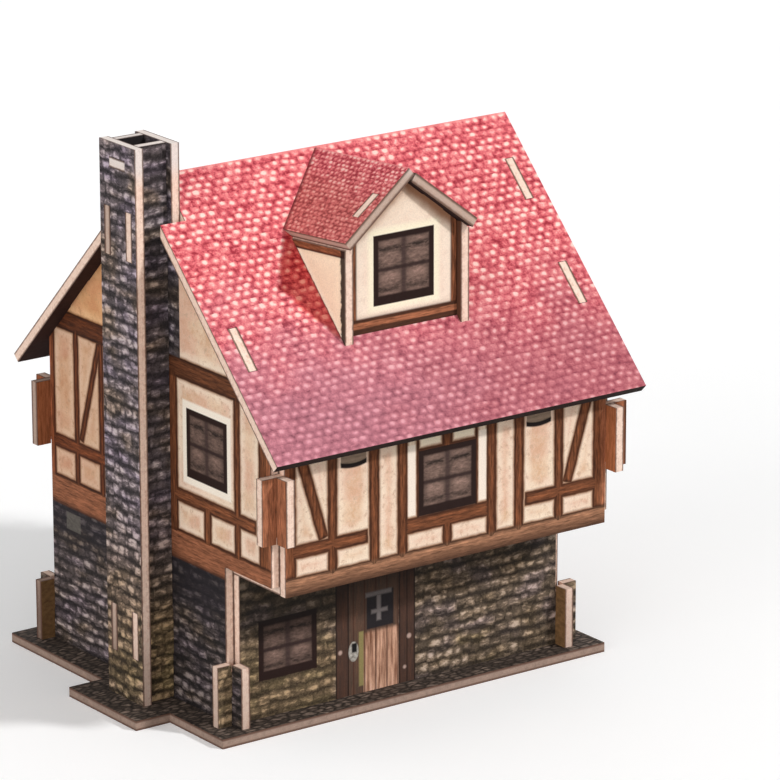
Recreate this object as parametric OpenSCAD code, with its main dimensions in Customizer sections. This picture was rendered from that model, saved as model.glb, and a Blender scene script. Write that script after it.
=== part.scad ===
// Slot-together card model of a jettied half timbered house.
// Every piece is cut from one thickness of printed card. Walls cross at the corners on halved
// tabs, roof panels drop over tabs on the gable slopes, and walls stand in slots in the base.
// Millimetres, +Z up, the door side faces -Y. The origin is on the underside of the base,
// below the middle of the ridge.

/* [Card] */
// Thickness of the card that every piece is cut from
card = 2; // [1.5:0.1:2.4]
// Clearance between a piece and the slot or face it sits against
play = 0.1; // [0.05:0.05:0.15]
// How far the halved corner tabs stick out past the walls
tab_out = 3.2; // [2:0.2:5]
// Height of the small gap left at the end of a halved corner joint
relief = 1.4; // [0.6:0.2:2]

/* [House] */
// Width of the house over its two gable walls
house_w = 81; // [74:1:110]
// Depth of the upper storey from front wall to back wall
house_d = 81; // [76:1:110]
// Height of the ground storey above the base
ground_h = 30; // [26:1:36]
// How far the upper storey juts out over the ground floor wall
jetty = 15.6; // [8:0.2:20]
// How far the upper front wall hangs below the jetty edge of the gables
front_drop = 1.8; // [0.4:0.2:2]
// Height of the corner tabs at the foot of the walls
low_tab_h = 12.4; // [8:0.1:16]
// Height of the upper corner tabs above the ground storey
up_tab_z = 11.2; // [6:0.1:14]
// Length of the upper corner tabs
up_tab_h = 13.2; // [8:0.2:15]

/* [Roof] */
// Height of the ridge above the base
ridge_h = 104.8; // [100:0.2:120]
// Slope of the two roof panels
roof_slope = 45; // [42:0.5:47]
// Overhang of the eaves past the front and back walls, measured level
eave_over = 5.6; // [3:0.1:10]
// Overhang of the roof past the gable walls
side_over = 3.6; // [2:0.2:8]
// Length of the roof slots along the slope
roof_tab_len = 9.6; // [6:0.2:12]
// Distance of the upper roof slots from the ridge, along the slope to their middle
roof_tab_upper = 15.3; // [14:0.1:20]
// Distance of the lower roof slots from the ridge
roof_tab_lower = 40; // [32:0.1:46]

/* [Dormer] */
// Width of the dormer over its cheeks
dormer_w = 29.6; // [24:0.2:36]
// Offset of the dormer from the middle of the house
dormer_x = -2.8; // [-6:0.2:6]
// Distance of the dormer front behind the upper front wall
dormer_back = 10.8; // [8:0.2:16]
// How far the cheeks stand forward of the dormer front
cheek_proud = 1.2; // [0.4:0.2:2]
// How far the dormer roof reaches forward of the dormer front
dormer_fore = 1.7; // [1.4:0.1:4]
// Height of the dormer ridge at its front edge, above the main ridge
dormer_rise = 2.2; // [0.6:0.1:4]
// Slope of the dormer roof panels
dormer_slope = 38; // [34:1:42]
// Angle at which the dormer ridge falls towards the main ridge
dormer_lean = 4.5; // [2:0.1:8]
// Overhang of the dormer roof past the cheeks
dormer_over = 0.9; // [0.4:0.1:3]
// Length of the slot in each dormer roof panel
dormer_tab_len = 6; // [4:0.5:9]
// Distance of that slot from the dormer ridge, along the slope to its middle
dormer_tab_s = 10.5; // [8:0.5:12]

/* [Chimney] */
// Distance of the outer chimney panel's face from the gable wall
chimney_out = 8.2; // [6:0.2:14]
// Width of the outer chimney panel
chimney_w = 12.2; // [10:0.2:18]
// Height of the chimney above the base
chimney_h = 112.2; // [108:0.2:126]
// How far the chimney's side panels are set in from the edges of the outer panel
chimney_inset = 1.4; // [0.8:0.1:2]
// Length of the tabs that hold the side panels in the outer panel and in the gable
chimney_tab_len = 9.6; // [6:0.2:14]
// Height of the lower chimney tabs above the base
chimney_tab_low = 9.1; // [6:0.1:14]
// Distance of the upper chimney tabs below the chimney's rim
chimney_tab_drop = 12.9; // [10:0.1:20]
// Depth of the flue plate below the chimney's rim
flue_drop = 3; // [2:0.2:6]
// Width of the notch in the roof beyond each side of the chimney
notch_room = 1.6; // [0.4:0.1:3]

/* [Base] */
// Margin of the base in front of and behind the ground floor walls
base_margin_y = 5.3; // [4.5:0.1:10]
// Margin of the base at the left gable
base_margin_left = 5.9; // [4.5:0.1:12]
// Margin of the base at the right gable
base_margin_right = 6.5; // [4.5:0.1:12]
// Margin of the base around the chimney
base_margin_chimney = 5.6; // [3:0.1:8]
// Length of the tabs at the foot of the walls
foot_tab_len = 12; // [8:1:16]
// Distance of those tabs from the corners of the walls
foot_tab_in = 12; // [6:1:14]

/* [Hidden] */

// Levels
base_top = card;
floor_z = base_top + ground_h;
jetty_z = floor_z + front_drop;
ridge_z = base_top + ridge_h;
chimney_top = base_top + chimney_h;

// Plan: outer faces of the walls
x_out = house_w / 2;
x_in = x_out - card;
y_front = -house_d / 2;
y_back = house_d / 2;
y_lower = y_front + jetty;

// Roof
roof_drop = card / cos(roof_slope);
roof_len = (house_d / 2 + eave_over) / cos(roof_slope);
ridge_lap = card * (1 + max(0, -cos(2 * roof_slope))) / sin(2 * roof_slope) + play;
left_tabs = [roof_tab_lower];
right_tabs = [roof_tab_upper, roof_tab_lower];
wall_top = ridge_z - house_d / 2 * tan(roof_slope) - roof_drop - play;

// Dormer
dormer_y = y_front + dormer_back;
dormer_z = ridge_z + dormer_rise;
dormer_half = dormer_w / 2;
dormer_roof_len = (dormer_half + dormer_over) / cos(dormer_slope);
dormer_lap = card * (1 + max(0, -cos(2 * dormer_slope))) / sin(2 * dormer_slope) + play;

// Chimney: its upper tabs, the side panels and the width left between them
chimney_tab_high = chimney_h - chimney_tab_drop - chimney_tab_len;
side_y = chimney_w / 2 - chimney_inset;
flue_half = side_y - card - play;

// A size for cutting blocks that reach past the whole house
far = 4 * (house_w + house_d + ridge_h);

card_edge = "#e6cdb9";
timber = "#8a5a3c";
stone = "#57504a";
tiles = "#d0606a";
paving = "#4c443f";

// Height of the top surface of the roof at a distance from the ridge line
function roof_z(y) = ridge_z - abs(y) * tan(roof_slope);

// Middle height of a halved corner joint
function half_z(z0, z1) = (z0 + z1) / 2;

// A card panel drawn in Y and Z, standing from x to x + card
module panel_yz(x) {
  translate([x, 0, 0]) rotate([90, 0, 90]) linear_extrude(card) children();
}

// A card panel drawn in X and Z, standing from y to y + card
module panel_xz(y) {
  translate([0, y + card, 0]) rotate([90, 0, 0]) linear_extrude(card) children();
}

// A rectangle given by its two corners
module span(a, b) {
  translate([min(a[0], b[0]), min(a[1], b[1])]) square([abs(b[0] - a[0]), abs(b[1] - a[1])]);
}

// Corner tab of a wall that keeps the upper half of the joint. The wall ends at edge, the
// crossing card lies between edge and edge + card, and the tab ends at edge + card + tab_out.
module upper_half_tab(edge, z0, z1, gap_top) {
  difference() {
    span([edge - play, z0], [edge + card + tab_out, z1]);
    span([edge - play, z0 - 1], [edge + card + play, half_z(z0, z1)]);
    span([edge, z1 - gap_top], [edge + card + play, z1 + 1]);
  }
}

// Corner tab of a wall that keeps the lower half of the joint
module lower_half_tab(edge, z0, z1, gap_bottom) {
  difference() {
    span([edge - play, z0], [edge + card + tab_out, z1]);
    span([edge - play, half_z(z0, z1) - play], [edge + card + play, z1 + 1]);
    span([edge, z0 - 1], [edge + card + play, z0 + gap_bottom]);
  }
}

// Both corner tabs of a front or back wall in the lower joint
module low_tabs_x() {
  for (side = [0, 1])
    mirror([side, 0]) upper_half_tab(x_in, base_top, base_top + low_tab_h, relief);
}

// Both corner tabs of a front or back wall in the upper joint
module high_tabs_x() {
  for (side = [0, 1])
    mirror([side, 0]) upper_half_tab(x_in, floor_z + up_tab_z, floor_z + up_tab_z + up_tab_h, 0);
}

// The foot tabs of a wall that runs from a to b
module foot_tabs(a, b, clear = 0) {
  for (at = [a + foot_tab_in, b - foot_tab_in - foot_tab_len])
    span([at - clear, 0], [at + foot_tab_len + clear, base_top + play]);
}

// Both storeys of a gable wall, with its tabs
module gable_outline() {
  y0 = y_front + card;
  y1 = y_back - card;
  y2 = y_lower + card;
  polygon([
    [y2, base_top], [y1, base_top], [y1, roof_z(y1) - roof_drop - play],
    [0, ridge_z - roof_drop - play], [y0, roof_z(y0) - roof_drop - play],
    [y0, jetty_z], [y2, jetty_z]
  ]);
  foot_tabs(y2, y1);
  mirror([1, 0]) {
    lower_half_tab(-y2, base_top, base_top + low_tab_h, 0);
    lower_half_tab(-y0, floor_z + up_tab_z, floor_z + up_tab_z + up_tab_h, relief);
  }
  lower_half_tab(y1, base_top, base_top + low_tab_h, 0);
  lower_half_tab(y1, floor_z + up_tab_z, floor_z + up_tab_z + up_tab_h, relief);
}

// Places a flat shape on the front slope (side 0) or the back slope (side 1): X runs along the
// ridge, Y from the ridge down the slope, and the card lies under it
module on_slope(side) {
  mirror([0, side, 0])
    translate([0, 0, ridge_z]) rotate([roof_slope, 0, 0]) mirror([0, 1, 0])
      translate([0, 0, -card]) linear_extrude(card) children();
}

// The tabs of a gable that pass through the roof panels, at the distances s_list from the ridge
module roof_tabs(x, s_list) {
  intersection() {
    for (side = [0, 1], s = s_list)
      mirror([0, side, 0])
        translate([0, 0, ridge_z]) rotate([roof_slope, 0, 0])
          translate([x, -s - roof_tab_len / 2, -card - 2 * play])
            cube([card, roof_tab_len, card + 2 * play]);
    translate([x, -far / 2, 0]) cube([card, far, far]);
  }
}

module base_plate() {
  yf = y_lower - base_margin_y;
  yb = y_back + base_margin_y;
  xl = -x_out - base_margin_left;
  xr = x_out + base_margin_right;
  bump_x = -x_out - chimney_out - base_margin_chimney;
  bump_y = chimney_w / 2 + base_margin_left;
  color(paving) difference() {
    linear_extrude(card) polygon([
      [xl, yf], [xr, yf], [xr, yb], [xl, yb],
      [xl, bump_y], [bump_x, bump_y], [bump_x, -bump_y], [xl, -bump_y]
    ]);
    translate([0, 0, -1]) linear_extrude(card + 2) {
      for (y = [y_lower, y_back - card], at = [-x_in + foot_tab_in, x_in - foot_tab_in - foot_tab_len])
        span([at - play, y - play], [at + foot_tab_len + play, y + card + play]);
      for (x = [-x_out, x_in], at = [y_lower + card + foot_tab_in, y_back - card - foot_tab_in - foot_tab_len])
        span([x - play, at - play], [x + card + play, at + foot_tab_len + play]);
    }
  }
}

module front_wall_lower() {
  color(stone) panel_xz(y_lower) {
    span([-x_in, base_top], [x_in, floor_z]);
    low_tabs_x();
    foot_tabs(-x_in, x_in);
  }
}

module front_wall_upper() {
  color(timber) panel_xz(y_front) {
    span([-x_in, floor_z], [x_in, wall_top]);
    high_tabs_x();
  }
}

module back_wall() {
  color(timber) panel_xz(y_back - card) {
    span([-x_in, base_top], [x_in, wall_top]);
    low_tabs_x();
    high_tabs_x();
    foot_tabs(-x_in, x_in);
  }
}

module first_floor() {
  color(card_edge)
    translate([-x_in + play, y_front + card + play, floor_z])
      cube([2 * (x_in - play), house_d - 2 * card - 2 * play, card]);
}

module gable_wall_left() {
  color(timber) {
    panel_yz(-x_out) difference() {
      union() {
        gable_outline();
        span([-chimney_w / 2, ridge_z - roof_drop - chimney_w], [chimney_w / 2, chimney_top]);
      }
      chimney_tabs(play);
    }
    roof_tabs(-x_out, left_tabs);
  }
}

module gable_wall_right() {
  color(timber) {
    panel_yz(x_in) gable_outline();
    roof_tabs(x_in, right_tabs);
  }
}

// The slots of a roof panel over one gable
module roof_slots(x, s_list) {
  for (s = s_list)
    span([x - play, s - roof_tab_len / 2 - play], [x + card + play, s + roof_tab_len / 2 + play]);
}

// One roof panel: its slots, and the notch round the chimney
module roof_panel(side) {
  start = side == 0 ? 0 : ridge_lap;
  difference() {
    on_slope(side) difference() {
      span([-x_out - side_over, start], [x_out + side_over, roof_len]);
      roof_slots(-x_out, left_tabs);
      roof_slots(x_in, right_tabs);
    }
    translate([-far / 2 - x_in + play, -chimney_w / 2 - notch_room, 0])
      cube([far / 2, chimney_w + 2 * notch_room, far]);
  }
}

module roof_front() {
  color(tiles) roof_panel(0);
}

module roof_back() {
  color(tiles) roof_panel(1);
}

// Everything under the top surface of the front roof panel
module under_roof() {
  translate([0, 0, ridge_z + play]) rotate([roof_slope, 0, 0])
    translate([-far / 2, -far, -far]) cube([far, 2 * far, far]);
}

// The dormer's own frame: origin at the front end of its ridge, Y back along its ridge
module dormer_frame() {
  translate([dormer_x, dormer_y - dormer_fore, dormer_z]) rotate([-dormer_lean, 0, 0]) children();
}

// Everything above the underside of the dormer roof
module over_dormer() {
  dormer_frame()
    for (side = [0, 1])
      mirror([side, 0, 0]) rotate([0, dormer_slope, 0])
        translate([-far / 2, -far, -card - play]) cube([far, 2 * far, far]);
}

// The tabs of the dormer front, or their slots when clear is the play
module dormer_tabs(clear = 0) {
  intersection() {
    dormer_frame()
      for (side = [0, 1])
        mirror([side, 0, 0]) rotate([0, dormer_slope, 0])
          translate([dormer_tab_s - dormer_tab_len / 2 - clear, -far, -card - 2 * play - clear])
            cube([dormer_tab_len + 2 * clear, 2 * far, card + 2 * play + 2 * clear]);
    translate([-far / 2, dormer_y - clear, 0]) cube([far, card + 2 * clear, far]);
  }
}

module dormer_front() {
  color(timber) {
    difference() {
      translate([dormer_x - dormer_half + card + play, dormer_y, 0])
        cube([dormer_w - 2 * (card + play), card, dormer_z]);
      under_roof();
      over_dormer();
    }
    dormer_tabs();
  }
}

// A cheek of the dormer with its inner face at the dormer front
module dormer_cheek(side) {
  left_face = side == 0 ? -dormer_half : dormer_half - card;
  color(timber) difference() {
    translate([dormer_x + left_face, dormer_y - cheek_proud, 0])
      cube([card, house_d, dormer_z]);
    under_roof();
    over_dormer();
  }
}

module dormer_cheek_left() {
  dormer_cheek(0);
}

module dormer_cheek_right() {
  dormer_cheek(1);
}

// A panel of the dormer roof, lapped at the ridge by the left one
module dormer_roof(side) {
  start = side == 0 ? 0 : dormer_lap;
  color(tiles) difference() {
    dormer_frame()
      mirror([1 - side, 0, 0]) rotate([0, dormer_slope, 0])
        translate([start, 0, -card]) cube([dormer_roof_len - start, house_d, card]);
    under_roof();
    dormer_tabs(play);
  }
}

module dormer_roof_left() {
  dormer_roof(0);
}

module dormer_roof_right() {
  dormer_roof(1);
}

// The four slots for the chimney's side panels, in its outer panel and in the gable behind it,
// or their tab ends, drawn in Y and Z
module chimney_tabs(clear = 0) {
  for (y = [-side_y, side_y - card], z = [chimney_tab_low, chimney_tab_high])
    span([y - clear, base_top + z - clear], [y + card + clear, base_top + z + chimney_tab_len + clear]);
}

module chimney_outer() {
  color(stone) panel_yz(-x_out - chimney_out) difference() {
    span([-chimney_w / 2, base_top], [chimney_w / 2, chimney_top]);
    chimney_tabs(play);
    span([-flue_half - play, chimney_top - flue_drop - card - play],
         [flue_half + play, chimney_top - flue_drop + play]);
  }
}

// A side panel of the chimney, drawn in X and Z
module chimney_side(y) {
  color(stone) panel_xz(y) {
    span([-x_out - chimney_out + card + play, base_top], [-x_out - play, chimney_top]);
    for (z = [chimney_tab_low, chimney_tab_high])
      span([-x_out - chimney_out, base_top + z], [-x_in, base_top + z + chimney_tab_len]);
  }
}

module chimney_side_front() {
  chimney_side(-side_y);
}

module chimney_side_back() {
  chimney_side(side_y - card);
}

module chimney_flue_plate() {
  color(stone)
    translate([-x_out - chimney_out, -flue_half, chimney_top - flue_drop - card])
      cube([chimney_out - play, 2 * flue_half, card]);
}

base_plate();
front_wall_lower();
front_wall_upper();
first_floor();
back_wall();
gable_wall_left();
gable_wall_right();
roof_front();
roof_back();
dormer_front();
dormer_cheek_left();
dormer_cheek_right();
dormer_roof_left();
dormer_roof_right();
chimney_outer();
chimney_side_front();
chimney_side_back();
chimney_flue_plate();
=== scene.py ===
"""Printed card house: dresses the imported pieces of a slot-together model with its printed faces.

Every piece is a flat panel cut from one thickness of card. Its outer face carries a print, such as
rubble stone, timber framing or roof tiles, and its cut edges show the bare pale board.
The prints are worked out from Object coordinates, in millimetres, as shader maths.
"""

import math

import bpy
from bpy.props import FloatProperty, FloatVectorProperty, PointerProperty
from mathutils import Matrix, Vector


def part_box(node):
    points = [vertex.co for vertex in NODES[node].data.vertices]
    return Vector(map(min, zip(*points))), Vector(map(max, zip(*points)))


bl_info = {
    "name": "Printed Card House",
    "version": (1, 0, 0),
    "blender": (4, 5, 0),
    "location": "3D View > Sidebar > Card House",
    "description": "Prints and cut edges of a slot-together half timbered house",
    "category": "Object",
}

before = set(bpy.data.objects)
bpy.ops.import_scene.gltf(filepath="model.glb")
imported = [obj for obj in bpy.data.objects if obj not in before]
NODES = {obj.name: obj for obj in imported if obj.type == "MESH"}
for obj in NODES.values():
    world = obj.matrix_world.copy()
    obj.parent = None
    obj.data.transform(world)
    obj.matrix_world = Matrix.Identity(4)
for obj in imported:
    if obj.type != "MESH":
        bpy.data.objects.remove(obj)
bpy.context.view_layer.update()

MM = 0.001
CARD = 2.0
ROOF_FRONT = ("roof_front", (0, -1, 1))
ROOF_BACK = ("roof_back", (0, 1, 1))
DORMER_ROOFS = (("dormer_roof_left", (-1, 0, 1)), ("dormer_roof_right", (1, 0, 1)))

# Measures in millimetres: the top of the ground storey's stone, and places past a wall's side and
# past the eave, for timbers that run off the panel
STONE_TOP = 31.0
PAST_EDGE = 44
PAST_EAVE = 66

# The camera as solved from the photo's edges: its place in metres, its yaw, pitch and roll in
# degrees, and its lens in millimetres
CAMERA_PLACE = (-0.57486, -0.81158, 0.36030)
CAMERA_TURN = (36.032, -16.992, -0.112)
CAMERA_LENS = 241.75

# The lights. A lamp has a name, an azimuth, a height, a power and a spread, with angles in degrees
LAMPS = (
    ("key", 33, 37, 1.8, 5),
    ("side", -78, 10, 1.34, 50),
    ("front", -40, 12, 0.5, 50),
)
WORLD_FILL = 0.46
FLOOR_GLOW = (0.14, 0.14, 0.14)


def ink(red, green, blue):
    """A printed colour given as 0 to 255 display values, turned into linear light."""
    shares = [c / 255 for c in (red, green, blue)]
    return tuple(s / 12.92 if s <= 0.04045 else ((s + 0.055) / 1.055) ** 2.4 for s in shares)


OUTLINE = ink(40, 20, 13)
DARK_WOOD = ink(34, 18, 14)
# Near-black painted shade that darkens the stone under the beam
BEAM_SHADE = ink(30, 26, 30)


def corner(node, which):
    """The lowest (0) or highest (1) corner of a piece, in millimetres."""
    return [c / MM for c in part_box(node)[which]]


def broad_face(node, towards):
    """The largest flat face of a piece that looks towards a direction: its outward normal, and its
    distance from the origin along that normal, in millimetres."""
    look = Vector(towards).normalized()
    sides = NODES[node].data.polygons
    best = max(sides, key=lambda side: side.area * max(side.normal.dot(look), 0.0) ** 8)
    normal = best.normal.copy()
    return normal, best.center.dot(normal) / MM


def roof_slope(node, towards, mate, mate_towards):
    """How a roof panel lies: the directions along its ridge and straight down it, and the place
    of the ridge along the second, in millimetres. The ridge is where the faces of the panel and
    of its mate meet."""
    normal, face = broad_face(node, towards)
    mate_normal, mate_face = broad_face(mate, mate_towards)
    ridge = normal.cross(mate_normal).normalized()
    place = Matrix((normal, mate_normal, ridge)).inverted() @ Vector((face, mate_face, 0))
    down = ridge.cross(normal)
    if down.z > 0:
        down = -down
    return ridge, down, down.dot(place)


def add_node(tree, kind, settings=None, sockets=None):
    """Adds one shader node: its settings first, then the values or links of its sockets."""
    made = tree.nodes.new("ShaderNode" + kind)
    for key, value in (settings or {}).items():
        setattr(made, key, value)
    for key, value in (sockets or {}).items():
        value = value.socket if isinstance(value, Field) else value
        if isinstance(value, bpy.types.NodeSocket):
            tree.links.new(value, made.inputs[key])
        elif made.inputs[key].type == "RGBA" and len(value) == 3:
            made.inputs[key].default_value = (*value, 1.0)
        else:
            made.inputs[key].default_value = value
    return made


def joined(operation, flipped=False):
    """A method that joins a field and another number by one Math node."""

    def method(self, other):
        pair = (other, self) if flipped else (self, other)
        return self.paint.math(operation, *pair)

    return method


class Field:
    """A number that varies over a surface: one socket, whose operators add Math nodes."""

    def __init__(self, paint, socket):
        self.paint = paint
        self.socket = socket

    __add__ = __radd__ = joined("ADD")
    __mul__ = __rmul__ = joined("MULTIPLY")
    __sub__ = joined("SUBTRACT")
    __rsub__ = joined("SUBTRACT", flipped=True)
    __truediv__ = joined("DIVIDE")
    __mod__ = joined("FLOORED_MODULO")

    def __neg__(self):
        return self * -1

    def __abs__(self):
        return self.paint.math("ABSOLUTE", self)

    def __floordiv__(self, other):
        return self.paint.math("FLOOR", self / other)


class Paint:
    """One material under construction, with the surface's place in millimetres as x, y and z, and
    the settings of the prints as inks and sizes."""

    def __init__(self, name):
        scene = bpy.context.scene
        self.inks, self.sizes = scene.card_house_inks, scene.card_house_sizes
        self.material = bpy.data.materials.new(name)
        self.material.use_nodes = True
        self.tree = self.material.node_tree
        self.tree.nodes.clear()
        place = self.node("TexCoord").outputs["Object"]
        scaled = self.node("VectorMath", {"operation": "SCALE"}, {0: place, "Scale": 1 / MM})
        self.place = scaled.outputs[0]
        parts = self.node("SeparateXYZ", {}, {0: self.place})
        self.x, self.y, self.z = (Field(self, parts.outputs[i]) for i in range(3))
        self.normal = self.node("NewGeometry").outputs["Normal"]

    def node(self, kind, settings=None, sockets=None):
        """One node of the material."""
        return add_node(self.tree, kind, settings, sockets)

    def math(self, operation, *values):
        """One Math node as a Field."""
        made = self.node("Math", {"operation": operation}, dict(enumerate(values)))
        return Field(self, made.outputs[0])

    def low(self, *values):
        """The smallest of several fields."""
        least = values[0]
        for value in values[1:]:
            least = self.math("MINIMUM", least, value)
        return least

    def high(self, *values):
        """The largest of several fields."""
        most = values[0]
        for value in values[1:]:
            most = self.math("MAXIMUM", most, value)
        return most

    def rise(self, value, start, end):
        """0 before start and 1 after end, with a smooth step between; start may be the larger."""
        flipped = start > end
        sockets = {"Value": value, "From Min": min(start, end), "From Max": max(start, end)}
        sockets.update({"To Min": float(flipped), "To Max": float(not flipped)})
        made = self.node("MapRange", {"interpolation_type": "SMOOTHSTEP"}, sockets)
        return Field(self, made.outputs[0])

    def vector(self, x, y, z=0.0):
        """Three fields as one vector socket."""
        return self.node("CombineXYZ", {}, {0: x, 1: y, 2: z}).outputs[0]

    def noise(self, x, y, z=0.0, detail=2.0, rough=0.5):
        """Soft noise from 0 to 1 whose lumps are about one unit of x, y and z across."""
        sockets = {"Vector": self.vector(x, y, z), "Scale": 1.0, "Detail": detail, "Roughness": rough}
        return Field(self, self.node("TexNoise", {}, sockets).outputs[0])

    def cells(self, x, y, feature, spread=1.0):
        """A Voronoi node in two dimensions with cells about one unit across."""
        settings = {"voronoi_dimensions": "2D", "feature": feature}
        sockets = {"Vector": self.vector(x, y), "Scale": 1.0, "Randomness": spread}
        return self.node("TexVoronoi", settings, sockets)

    def split(self, colour):
        """The three numbers of a colour as fields."""
        outputs = self.node("SeparateColor", {}, {0: colour}).outputs
        return [Field(self, outputs[i]) for i in range(3)]

    def chance(self, x, y):
        """A number from 0 to 1 that jumps at random with x and y."""
        made = self.node("TexWhiteNoise", {"noise_dimensions": "2D"}, {"Vector": self.vector(x, y)})
        return Field(self, made.outputs["Value"])

    def mix(self, below, above, share, blend="MIX"):
        """One colour over another, by a share from 0 to 1."""
        settings = {"data_type": "RGBA", "blend_type": blend, "clamp_factor": True}
        return self.node("Mix", settings, {0: share, 6: below, 7: above}).outputs[2]

    def shade(self, colour, factor):
        """A colour made darker or lighter by a varying factor."""
        grey = self.node("CombineColor", {}, {0: factor, 1: factor, 2: factor}).outputs[0]
        return self.mix(colour, grey, 1.0, "MULTIPLY")

    def ramp(self, value, colours):
        """A colour read from a ramp of colours at even places from 0 to 1."""
        made = self.node("ValToRGB", {}, {0: value})
        elements = made.color_ramp.elements
        while len(elements) < len(colours):
            elements.new(0.5)
        for i, (element, colour) in enumerate(zip(elements, colours)):
            element.position = i / (len(colours) - 1)
            element.color = (*colour, 1.0)
        return made.outputs[0]

    def facing(self, axis):
        """How far the surface faces along an axis, from -1 to 1."""
        made = self.node("VectorMath", {"operation": "DOT_PRODUCT"}, {0: self.normal, 1: axis})
        return Field(self, made.outputs["Value"])

    def along(self, axis):
        """The surface's place along an axis, in millimetres."""
        made = self.node("VectorMath", {"operation": "DOT_PRODUCT"}, {0: self.place, 1: axis})
        return Field(self, made.outputs["Value"])

    def finish(self, colour, roughness, height, depth, glow=None):
        """Joins colour, roughness and a bump of the given depth, in millimetres, to the output.
        A glow is the colour of a light that it gives off."""
        bump = self.node("Bump", {}, {"Strength": 1.0, "Distance": depth * MM, "Height": height})
        sockets = {"Base Color": colour, "Roughness": roughness, "Normal": bump.outputs[0]}
        sockets["Specular IOR Level"] = 0.18
        if glow:
            sockets.update({"Emission Color": glow, "Emission Strength": 1.0})
        shader = self.node("BsdfPrincipled", {}, sockets)
        self.node("OutputMaterial", {}, {0: shader.outputs[0]})
        return self.material


# Shapes of a print, as signed distances: negative inside, in millimetres


def block(p, u, v, left, right, bottom, top):
    """Distance to a rectangle: the larger of the distances past its sides."""
    across = abs(u - (left + right) / 2) - (right - left) / 2
    up = abs(v - (bottom + top) / 2) - (top - bottom) / 2
    return p.high(across, up)


def bar(p, u, v, start, end, width):
    """Distance to a straight bar of one width: a rectangle turned to lie between two points."""
    run, climb = end[0] - start[0], end[1] - start[1]
    length = math.hypot(run, climb)
    run, climb = run / length, climb / length
    du, dv = u - start[0], v - start[1]
    along = abs(du * run + dv * climb - length / 2) - length / 2
    across = abs(du * climb - dv * run) - width / 2
    return p.high(along, across)


def oval(p, u, v, reach_u, reach_v):
    """Distance from the middle of an oval as a share of its reach, so 1 at its rim."""
    u, v = u / reach_u, v / reach_v
    return p.math("SQRT", u * u + v * v)


def spot(p, u, v, middle_u, middle_v, radius):
    """Distance to a round spot."""
    return oval(p, u - middle_u, v - middle_v, 1, 1) - radius


def fill(p, below, above, shape, outer=0.12, inner=0.12, share=1.0):
    """Lays one colour over another inside a shape, with a rim that fades from outer to inner."""
    return p.mix(below, above, p.rise(shape, outer, -inner) * share)


def wobble(p, u, v, reach, size):
    """Two coordinates shaken by slow noise, so that drawn edges look cut and painted by hand."""
    shake_u = (p.noise(u / size, v / size, 3.7) - 0.5) * (2 * reach)
    shake_v = (p.noise(u / size, v / size, 9.2) - 0.5) * (2 * reach)
    return u + shake_u, v + shake_v


# Prints of one material: each returns a colour socket


def steps(colour, *shares):
    """Darker and lighter steps of one linear colour, each a share of it."""
    return [tuple(min(1.0, c * share) for c in colour) for share in shares]


def stone_print(p, u, v, colour, soft, light=1.0, damp=0.0, moss=0.0):
    """Coursed rubble. Rows have one height, and a slice through random cells cuts each row into
    stones. Chance sets each stone's tone, height and place in its row. It is palest on its worn
    crown and dark at its joints, above all at the level ones, which fade out in places. soft evens
    out the whole. Slow noise turns parts purple or brown; damp adds brown and moss olive low down."""
    course, width = p.sizes.course, p.sizes.stone
    row_slide, slice_step = 0.47, 3
    pale, purple, brown = ink(208, 198, 194), ink(110, 98, 116), ink(112, 92, 64)
    height_up = v
    u, v = wobble(p, u, v, 0.5, 5.0)
    u, v = wobble(p, u, v, 0.3, 0.9)
    row = v // course
    slice_u, slice_v = u / width + row * row_slide, row * slice_step + 0.5
    edges = p.cells(slice_u, slice_v, "DISTANCE_TO_EDGE")
    stones = p.cells(slice_u, slice_v, "F1")
    tone, shift, height = p.split(stones.outputs["Color"])
    lift = (v / course - row - 0.5 + (shift - 0.5) * 0.3) * course
    off_level_joint = course * (0.3 + height * 0.16) - abs(lift)
    off_upright_joint = Field(p, edges.outputs["Distance"]) * width
    crown = p.rise(off_level_joint, -0.3, 0.65) * (p.rise(off_upright_joint, -0.1, 0.8) * 0.5 + 0.5)
    fading = p.rise(p.noise(u / 3.5, v / 1.6, 7.1, 2.0, 0.6), 0.5, 0.66)
    crown = p.high(crown, fading * 0.5)
    worn = p.rise(p.noise(u / 1.7, v / 0.75, tone * 3, 2.0, 0.55) + tone * 0.2, 0.48, 0.8)
    grit = p.noise(u / 0.4, v / 0.3, 1.3, 2.0, 0.6)
    relief = crown * (0.3 + tone * 0.1 + worn * 0.6) * (1 - soft * 0.36)
    bright = relief + (grit - 0.5) * 0.45 + 0.06 + soft * 0.18
    drawn = p.ramp(bright * light, steps(colour, 0.06, 0.36, 0.92, 1.8, 3.0, 4.3))
    drawn = p.mix(drawn, pale, p.rise(bright, 0.6, 1.0) * 0.5)
    tint = p.noise(u / 10, v / 6, 5.1)
    drawn = p.mix(drawn, purple, p.rise(tint, 0.49, 0.34) * 0.45, "COLOR")
    drawn = p.mix(drawn, brown, p.rise(tint, 0.5, 0.66) * 0.45, "COLOR")
    wet = p.rise(height_up + (tint - 0.5) * 16, 44, 16) * damp
    drawn = p.mix(drawn, ink(114, 94, 70), wet, "COLOR")
    patches = p.rise(p.noise(u / 8, v / 4.5, 9.4), 0.44, 0.6)
    mossy = patches * p.rise(height_up, 22, 8) * moss
    return p.mix(drawn, p.inks.moss, mossy * 0.85, "COLOR")


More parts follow.
